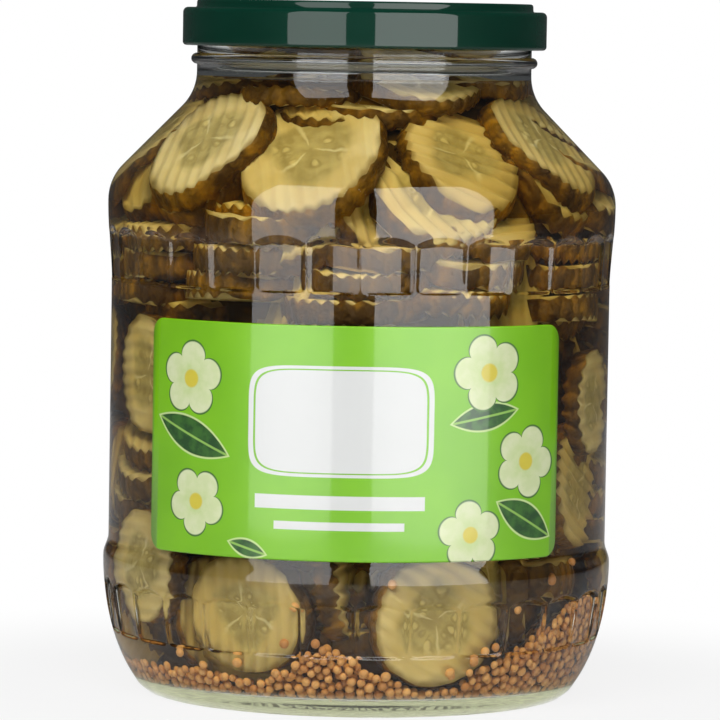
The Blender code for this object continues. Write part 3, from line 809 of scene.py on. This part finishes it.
def seed_level(azimuth):
    """Height of the seeds against the wall. They lie deepest at the right of the front."""
    deep = 17.5 * math.exp(-(((azimuth - 72) / 27) ** 2))
    hump = 7.0 * math.exp(-(((azimuth + 7) / 10) ** 2))
    side = 4.0 * math.exp(-(((azimuth - 165) / 40) ** 2)) + 4.0 * math.exp(-(((azimuth + 130) / 30) ** 2))
    return SEED_BED + (1.0 + deep + hump + side) * MM


# Loose seeds between the front slices and the glass: azimuth and height.
LOOSE_SEEDS = (
    (-14.0, 27.8), (-16.8, 18.6), (-9.4, 18.9), (-29.6, 13.4), (-19.6, 11.4), (-47.0, 14.4), (8.4, 33.6),
    (41.0, 26.5), (24.0, 12.0), (30.0, 14.5), (33.0, 16.5), (36.0, 17.5), (52.0, 33.0), (61.0, 36.0),
    (-40.0, 12.0),
)


def is_clear(point, radius, slices):
    """Whether a seed at a point is clear of every slice."""
    for centre, normal, size, _ in slices:
        offset = point - centre
        if offset.length > size + radius + SLICE_THICKNESS:
            continue
        rise = offset.dot(normal)
        room = 0.6 * radius
        if abs(rise) < SLICE_THICKNESS / 2 + room and (offset - rise * normal).length < size + room:
            return False
    return True


def seed_reach(z, size):
    """How far from the axis a seed's middle may lie at a height, so that it stays inside the wall."""
    drops = ((0.0, 1.0), (0.5, 0.87), (0.8, 0.6))
    return min(inner_radius(z - drop * size) - width * size for drop, width in drops) - 0.05 * MM


def seed_places(slices, draw):
    """Middles and radii of the seeds: layers thrown against the wall till each is full, then loose ones."""
    low_slices = [place for place in slices if place[0].z < SEED_BED + 40 * MM]
    cell = 2 * SEED_RADII[1]
    nearby = [(i, j, k) for i in (-1, 0, 1) for j in (-1, 0, 1) for k in (-1, 0, 1)]
    cells = {}
    places = []
    for depth in SEED_LAYERS:
        for _ in range(SEED_THROWS):
            azimuth, size = draw.uniform(-180, 180), draw.uniform(*SEED_RADII)
            z = draw.uniform(FLOOR_EDGE + 1.1 * size, seed_level(azimuth) + draw.uniform(-0.8, 0.8) * MM)
            inward = depth + draw.uniform(0, 0.5) * MM
            point = outward(azimuth) * (seed_reach(z, size) - inward) + Vector((0, 0, z))
            a, b, c = (int(part // cell) for part in point)
            around = [seed for i, j, k in nearby for seed in cells.get((a + i, b + j, c + k), ())]
            if any((point - other).length < SEED_SQUEEZE * (size + radius) for other, radius in around):
                continue
            if is_clear(point, size, low_slices):
                places.append((point, size))
                cells.setdefault((a, b, c), []).append((point, size))
    for azimuth, z in LOOSE_SEEDS:
        size = draw.uniform(1.1, 1.35) * MM
        places.append((outward(azimuth) * seed_reach(z * MM, size) + Vector((0, 0, z * MM)), size))
    return places


def seed_material():
    sheet = Sheet("mustard_seed")
    tone = sheet.node("ShaderNodeAttribute", {"attribute_name": "tone"}, {}, "Fac")
    speck = sheet.cloud(sheet.own_place(), 900.0, 2.0)
    colour = sheet.blend(tone, (0.50, 0.20, 0.055), (0.80, 0.41, 0.14))
    colour = sheet.blend(speck.rise(0.55, 0.75) * 0.35, colour, (0.26, 0.09, 0.02))
    bump = sheet.bump(speck, 0.15, 0.0003)
    shader = sheet.principled(Base_Color=colour, Roughness=0.4, Specular_IOR_Level=0.12, Normal=bump)
    return sheet.surface(shader)


def make_seeds(slices):
    draw = random.Random(RANDOM_SEED + 2)
    bm = bmesh.new()
    bmesh.ops.create_icosphere(bm, subdivisions=2, radius=1.0)
    pattern = mesh_of("seed_pattern", bm)
    corners = corners_of(pattern)
    placed, tones = [], []
    for point, size in seed_places(slices, draw):
        turn = Matrix.Rotation(draw.uniform(0, 3.1), 3, Vector((draw.random(), draw.random(), 1)))
        stretch = Matrix.Diagonal((size * draw.uniform(0.9, 1.0), size * draw.uniform(0.9, 1.0), size))
        placed.append(corners @ np.array(turn @ stretch).T + np.array(point))
        tones.append(np.full(len(corners), draw.random()))
    mesh = joined_copies("seeds", pattern, placed, tones, "tone", "FLOAT")
    return add_piece("seeds", mesh, [seed_material()], "mustard_seeds")


def make_seed_bed():
    """The dark bed that the seeds lie on, just behind them, with painted shade in the gaps between its
    grains.
    """
    points = [(0, SEED_BED + 1 * MM)]
    points += [(inner_radius(SEED_BED) - 6 * MM, SEED_BED + 1 * MM)]
    points += [(inner_radius(7 * MM) - 3.4 * MM, 7 * MM)]
    points += [(inner_radius(FLOOR_EDGE + 1 * MM) - 3 * MM, FLOOR_EDGE + 0.6 * MM)]
    points += [(40 * MM, FLOOR_EDGE + 0.9 * MM), (0, FLOOR_CROWN + 0.3 * MM)]
    bm = spun(points, 180)
    for vertex in bm.verts:
        radius = vertex.co.xy.length
        if vertex.co.z > SEED_BED and radius > 30 * MM:
            vertex.co.z = seed_level(azimuth_of(vertex.co)) - 2 * MM
            vertex.co.xy *= (inner_radius(vertex.co.z) - 5.4 * MM) / radius
    sheet = Sheet("seed_bed")
    grains = sheet.node("ShaderNodeTexVoronoi", {}, {"Vector": sheet.own_place(), "Scale": 430.0})
    # Painted shade: the colour darkens towards the gaps between the grains, where shade would fall.
    colour = sheet.blend(grains.rise(0.2, 0.75), (0.40, 0.20, 0.08), (0.05, 0.02, 0.006))
    bump = sheet.bump(1 - grains, 0.8, 0.002)
    shader = sheet.principled(Base_Color=colour, Roughness=0.6, Specular_IOR_Level=0.05, Normal=bump)
    return add_piece("seed_bed", mesh_of("seed_bed", bm), [sheet.surface(shader)], "mustard_seeds")


# The lid


def lid_material():
    """Dark green gloss lacquer on tinplate."""
    sheet = Sheet("green_lacquer")
    peel = sheet.cloud(sheet.own_place(), 260.0, 2.0)
    tint = sheet.cloud(sheet.own_place(), 35.0).rise(0.3, 0.7)
    colour = sheet.blend(tint, (0.0, 0.022, 0.012), (0.0, 0.027, 0.015))
    shader = sheet.principled(
        Base_Color=colour,
        Roughness=0.5,
        Specular_IOR_Level=0.05,
        Coat_Weight=0.7,
        Coat_Roughness=0.04,
        Normal=sheet.bump(peel, 0.06, 0.0003),
    )
    return sheet.surface(shader)


def lining_material():
    """The pale lacquer inside the lid."""
    sheet = Sheet("lid_lining")
    shade = sheet.cloud(sheet.own_place(), 60.0)
    colour = sheet.blend(shade, (0.60, 0.58, 0.52), (0.68, 0.66, 0.60))
    return sheet.surface(sheet.principled(Base_Color=colour, Roughness=0.4))


def make_lid():
    """A pressed lid: a raised ring round a lower panel with a button, and a skirt that ends in a curl."""
    radius, low, top = LID_HIGH.x, LID_LOW.z, LID_HIGH.z
    ring, ring_width, drop = 42.5 * MM, 3.2 * MM, 1.6 * MM
    shoulder_height = top - 2 * MM
    panel = top - drop
    inner = ring - ring_width
    button, button_rise = 13 * MM, 0.4 * MM
    curl = 0.9 * MM
    metal = 0.5 * MM
    outer = [(0, panel + button_rise), (button - 2 * MM, panel + button_rise)]
    outer += [(button - 1 * MM, panel + 0.9 * button_rise), (button, panel + 0.1 * button_rise)]
    outer += [(button + 1 * MM, panel), (inner - 1.8 * MM, panel), (inner - 1.2 * MM, panel + 0.15 * MM)]
    outer += [(inner - 0.3 * MM, top - 0.35 * MM)]
    outer += arc((inner + 0.6 * MM, top - 0.9 * MM), (0.9 * MM, 0.9 * MM), 140, 90, 4)
    outer += arc((ring - 0.7 * MM, top - 0.7 * MM), (0.7 * MM, 0.7 * MM), 90, 0, 5)
    outer += [(ring + 0.05 * MM, shoulder_height + 0.25 * MM), (ring + 0.3 * MM, shoulder_height)]
    outer += arc((radius - 1.3 * MM, shoulder_height - 1.3 * MM), (1.3 * MM, 1.3 * MM), 90, 0, 7)
    outer += [(radius, low + 5 * MM)] + arc((radius - curl, low + curl), (curl, curl), 0, -180, 12)
    inside = [(radius - 1.6 * MM, low + 2.2 * MM), (radius - metal - 0.2 * MM, low + 3 * MM)]
    inside += [(radius - metal - 0.1 * MM, shoulder_height - 1.6 * MM)]
    inside += [(radius - 1.5 * MM, shoulder_height - metal), (ring - metal, shoulder_height - metal)]
    inside += [(ring - 1.2 * MM, top - metal)]
    inside += [(inner + 0.4 * MM, top - metal), (inner - 0.9 * MM, panel - metal), (0, panel - metal)]
    bm = spun(outer + inside, 300)
    for face in bm.faces:
        centre = face.calc_center_median()
        face.material_index = 1 if face.normal.z < -0.3 and centre.z > low + 2.5 * MM else 0
    return add_piece("lacquered_lid", mesh_of("lid", bm), [lid_material(), lining_material()], "lid")


# The label

PRINTED_CARD = (-3.0, 34.0, 23.0, 13.5)  # middle and half sides
# White bars: left end, right end, lowest and highest
PRINTED_BARS = ((-24.0, 18.0, 12.6, 16.0), (-19.0, 13.0, 7.6, 9.6))
# Blossoms: middle, radius and turn in radians
PRINTED_BLOSSOMS = (
    (-43.0, 43.0, 9.6, 0.4),
    (-41.0, 13.0, 8.8, 1.0),
    (34.5, 46.0, 9.8, 0.0),
    (46.0, 24.0, 9.4, 0.7),
    (30.0, 6.5, 8.8, 0.2),
)
# Leaves: two ends and half the width
PRINTED_LEAVES = (
    (-54.5, 33.5, -31.0, 24.5, 4.6),
    (-31.5, 4.0, -20.5, 1.0, 2.4),
    (24.0, 33.5, 43.5, 37.0, 3.6),
    (37.0, 14.5, 55.0, 5.0, 4.4),
)
PRINTED_WHITE = (0.78, 0.79, 0.78)
FIELD_GREEN = (0.190, 0.52, 0.0)


def printed_blossom(x, y, blossom):
    """Masks of a printed blossom with its rim and of the petals inside it, and the share of its radius."""
    across, up, radius, turn = blossom
    dx, dy = x - across, y - up
    distance = (dx * dx + dy * dy) ** 0.5
    angle = x.maths("ARCTAN2", dy, dx) + turn
    reach = distance / (abs((angle * 2.5).sine()) ** 0.6 * 0.34 + 0.66)  # five petals
    petals = reach.rise(radius - 0.35, radius - 0.7)
    return reach.rise(radius + 0.05, radius - 0.15), petals, distance / radius


def printed_leaf(x, y, leaf):
    """Masks of a printed leaf with its rim, and of its blade, and its midrib."""
    left, low, right, high, half_width = leaf
    length = math.hypot(right - left, high - low)
    lean = ((right - left) / length, (high - low) / length)
    dx, dy = x - (left + right) / 2, y - (low + high) / 2
    along = (dx * lean[0] + dy * lean[1]) / (length / 2)
    off = abs(dy * lean[0] - dx * lean[1])
    inside = (1 - along * along) * half_width - off
    return inside.rise(-0.1, 0.15), inside.rise(0.4, 0.65), off.rise(0.4, 0.15)


def label_material():
    """Bright green gloss print with a plain white card, white bars, pale blossoms and dark leaves."""
    sheet = Sheet("printed_label")
    x, y, _ = sheet.parts(sheet.attribute("print"))
    flat = sheet.vector(x, y, 0.0)
    tint = sheet.cloud(flat, 0.05)
    colour = sheet.blend(tint.rise(0.3, 0.7), FIELD_GREEN, (0.220, 0.57, 0.002))
    mottle = sheet.cloud(flat, 0.35, 3.0).rise(0.35, 0.65)
    for leaf in PRINTED_LEAVES:
        whole, blade, rib = printed_leaf(x, y, leaf)
        dark = sheet.blend(mottle, (0.008, 0.060, 0.008), (0.035, 0.14, 0.015))
        dark = sheet.blend(rib, dark, (0.30, 0.55, 0.10))
        colour = sheet.blend(whole, colour, (0.62, 0.80, 0.33))
        colour = sheet.blend(blade, colour, dark)
    for blossom in PRINTED_BLOSSOMS:
        whole, petals, share = printed_blossom(x, y, blossom)
        pale = sheet.blend(mottle * 0.4 + share.rise(0.7, 0.2) * 0.5, (0.78, 0.85, 0.52), (0.60, 0.74, 0.30))
        pale = sheet.blend(share.rise(0.26, 0.2), pale, (0.72, 0.60, 0.05))
        colour = sheet.blend(whole, colour, (0.05, 0.16, 0.02))
        colour = sheet.blend(petals, colour, pale)
    for start, end, bottom, top in PRINTED_BARS:
        aside = abs(x - (start + end) / 2) - (end - start) / 2
        above = abs(y - (bottom + top) / 2) - (top - bottom) / 2
        colour = sheet.blend(aside.higher_of(above).rise(0.08, -0.08), colour, PRINTED_WHITE)
    across, up, half_width, half_height = PRINTED_CARD
    dx, dy = (x - across) / half_width, (y - up) / half_height
    out = abs(dx) ** 6.0 + abs(dy) ** 6.0
    colour = sheet.blend(out.rise(1.03, 0.98), colour, PRINTED_WHITE)
    colour = sheet.blend(out.rise(0.60, 0.62) * out.rise(0.72, 0.70), colour, FIELD_GREEN)
    grain = sheet.cloud(flat, 0.8, 2.0)
    shader = sheet.principled(
        Base_Color=colour,
        Roughness=0.32,
        Coat_Weight=0.5,
        Coat_Roughness=0.06,
        Normal=sheet.bump(grain, 0.02, 0.0002),
    )
    return sheet.surface(shader)


def make_label():
    """The sticker on the front of the panel, with rounded corners."""
    inside = PANEL_RADIUS + 0.05 * MM
    half_width = math.radians(LABEL_HALF_ANGLE) * inside
    height = LABEL_HIGH.z - LABEL_LOW.z
    bm = bmesh.new()
    bmesh.ops.create_grid(bm, x_segments=1, y_segments=1, size=1.0)
    bmesh.ops.scale(bm, vec=(half_width, height / 2, 1), verts=bm.verts)
    rounding = {"offset": LABEL_CORNER, "segments": 8, "profile": 0.5, "affect": "VERTICES", "material": -1}
    bmesh.ops.bevel(bm, geom=bm.verts[:], **rounding)
    for column in range(1, LABEL_COLUMNS):
        cut = half_width * (2 * column / LABEL_COLUMNS - 1)
        everything = bm.verts[:] + bm.edges[:] + bm.faces[:]
        bmesh.ops.bisect_plane(bm, geom=everything, plane_co=(cut, 0, 0), plane_no=(1, 0, 0))
    for cut in (0.4 * MM - height / 2, 0, height / 2 - 0.4 * MM):
        everything = bm.verts[:] + bm.edges[:] + bm.faces[:]
        bmesh.ops.bisect_plane(bm, geom=everything, plane_co=(0, cut, 0), plane_no=(0, 1, 0))
    layer = bm.verts.layers.float_vector.new("print")
    centre = math.radians(LABEL_AZIMUTH)
    for vertex in bm.verts:
        across, up = vertex.co.x, vertex.co.y + height / 2
        vertex[layer] = (across / MM, up / MM, 0)
        azimuth = math.degrees(across / inside + centre)
        vertex.co = outward(azimuth) * inside + Vector((0, 0, LABEL_LOW.z + up))
    bmesh.ops.recalc_face_normals(bm, faces=bm.faces)
    if sum(face.normal.dot(face.calc_center_median()) for face in bm.faces) < 0:
        bmesh.ops.reverse_faces(bm, faces=bm.faces)
    piece = add_piece("printed_label", mesh_of("label", bm), [label_material()], "label")
    paper = piece.modifiers.new("paper", "SOLIDIFY")
    paper.thickness = LABEL_THICKNESS
    paper.offset = 1.0
    return piece


# The studio

FLOOR_RADIUS = 4.0
FLOOR_DROP = 0.0002
# Softboxes: name, the two azimuths of the glass that mirror their edges, distance in front, top, and how
# bright they are in the gloss and on what they light
SOFTBOXES = (
    ("left_softbox", -24.6, -5.8, 0.5, 0.68, 3.3, 1.5),
    ("right_softbox", 3.2, 30.0, 0.5, 0.68, 4.2, 1.5),
)
OVERHEAD_BRIGHTNESS = 9.0
FILLS = (("left_fill", -0.9, -0.2), ("right_fill", 0.9, -0.2), ("back_fill", 0.0, 0.9))
FILL_BRIGHTNESS = 0.8
AIR_BRIGHTNESS = 0.06


def soft_light(name, middle, facing, width, height, brightness):
    """A soft light. Its brightness is what a mirror shows of it."""
    light = bpy.data.lights.new(name, "AREA")
    light.shape = "RECTANGLE"
    light.size = width
    light.size_y = height
    light.energy = brightness * math.pi * width * height
    lamp = bpy.data.objects.new(name, light)
    lamp.matrix_world = Matrix.Translation(middle) @ facing.to_track_quat("-Z", "Y").to_matrix().to_4x4()
    lamp.visible_camera = False
    bpy.context.scene.collection.objects.link(lamp)
    return lamp


def softbox(name, first, last, near, top, mirrored, lit):
    """A tall soft light, a distance in front, whose edges the glass mirrors at two azimuths of its side.

    It is two lights in one place: one that shows in the gloss, and a weaker one that lights the contents.
    """
    edges = []
    for azimuth in (first, last):
        surface = outward(azimuth) * UPPER_BULGE_RADIUS
        sight = math.degrees(math.atan2(surface.x - EYE.x, surface.y - EYE.y))
        ray = outward(2 * azimuth + sight)
        edges.append(surface + ray * (near - surface.dot(ray)))
    middle = (edges[0] + edges[1]) / 2
    across = edges[1] - edges[0]
    facing = across.cross(Vector((0, 0, 1)))
    if facing.dot(middle) > 0:
        facing = -facing
    middle.z = top / 2 + 0.002
    shine = soft_light(name + "_shine", middle, facing, across.length, top, mirrored)
    shine.visible_diffuse = False
    light = soft_light(name, middle, facing, across.length, top, lit)
    light.visible_glossy = False


def make_studio():
    """A plain pale floor with a painted glow round and under the jar for rays through the glass, the lights,
    pale air, and the camera at the photograph's view.
    """
    bm = bmesh.new()
    bmesh.ops.create_circle(bm, cap_ends=True, segments=96, radius=FLOOR_RADIUS)
    bmesh.ops.translate(bm, vec=(0, 0, -FLOOR_DROP), verts=bm.verts)
    mesh = mesh_of("floor", bm)
    sheet = Sheet("pale_floor")
    matt = sheet.principled(Base_Color=(0.6, 0.6, 0.6, 1), Roughness=0.6)
    glow = sheet.node("ShaderNodeEmission", {}, {"Color": (1, 1, 1, 1), "Strength": 1.0})
    x, y, _ = sheet.parts(sheet.own_place())
    off = (x * x + y * y) ** 0.5
    seen = sheet.node("ShaderNodeLightPath", {}, {}, "Is Camera Ray") * (0.85 + 0.15 * off.rise(0.08, 0.2))
    # Painted light: rays through the glass see the floor glowing near the jar, fullest within 0.12 m, though
    # no lamp is there.
    through = sheet.node("ShaderNodeLightPath", {}, {}, "Is Transmission Ray") * off.rise(0.5, 0.12) * 0.8
    # Painted light: beneath the jar, in its own shadow, the floor glows for glossy rays, so the glass foot
    # shows a painted glow.
    under = sheet.node("ShaderNodeLightPath", {}, {}, "Is Glossy Ray") * off.rise(0.060, 0.053) * 0.8
    share = seen.higher_of(through).higher_of(under)
    mesh.materials.append(sheet.surface(sheet.node("ShaderNodeMixShader", {}, {0: share, 1: matt, 2: glow})))
    floor = bpy.data.objects.new("floor", mesh)
    bpy.context.scene.collection.objects.link(floor)
    for box in SOFTBOXES:
        softbox(*box)
    place, facing = Vector((-0.1, -0.75, 1.0)), Vector((0.1, 0.75, -0.9))
    overhead = soft_light("overhead", place, facing, 0.9, 0.5, OVERHEAD_BRIGHTNESS)
    overhead.visible_glossy = False
    for name, x, y in FILLS:
        fill = soft_light(name, Vector((x, y, 0.4)), Vector((-x, -y, 0)), 0.6, 0.7, FILL_BRIGHTNESS)
        fill.visible_glossy = False
        fill.visible_transmission = False
    world = bpy.data.worlds.new("pale_air")
    world.use_nodes = True
    tree = world.node_tree
    tree.nodes.clear()
    seen = tree.nodes.new("ShaderNodeBackground")
    seen.inputs["Color"].default_value = (1, 1, 1, 1)
    seen.inputs["Strength"].default_value = 1.0
    given = tree.nodes.new("ShaderNodeBackground")
    given.inputs["Color"].default_value = (0.92, 0.96, 1.0, 1)
    given.inputs["Strength"].default_value = AIR_BRIGHTNESS
    path = tree.nodes.new("ShaderNodeLightPath")
    mix = tree.nodes.new("ShaderNodeMixShader")
    out = tree.nodes.new("ShaderNodeOutputWorld")
    tree.links.new(path.outputs["Is Camera Ray"], mix.inputs[0])
    tree.links.new(given.outputs[0], mix.inputs[1])
    tree.links.new(seen.outputs[0], mix.inputs[2])
    tree.links.new(mix.outputs[0], out.inputs["Surface"])
    scene = bpy.context.scene
    scene.world = world
    scene.view_settings.view_transform = "Standard"
    camera = bpy.data.cameras.new("camera")
    camera.angle = VIEW_ANGLE
    eye = bpy.data.objects.new("camera", camera)
    bpy.context.scene.collection.objects.link(eye)
    direction = (AIM - EYE).to_track_quat("-Z", "Y").to_matrix().to_4x4()
    eye.matrix_world = Matrix.Translation(EYE) @ direction @ Matrix.Rotation(math.radians(VIEW_ROLL), 4, "Z")
    scene.camera = eye


make_studio()
slices = lay_slices(random.Random(RANDOM_SEED))
make_glass()
make_brine()
make_slices(slices + deep_slices(random.Random(RANDOM_SEED + 3)))
make_core()
make_seeds(slices)
make_seed_bed()
make_lid()
make_label()
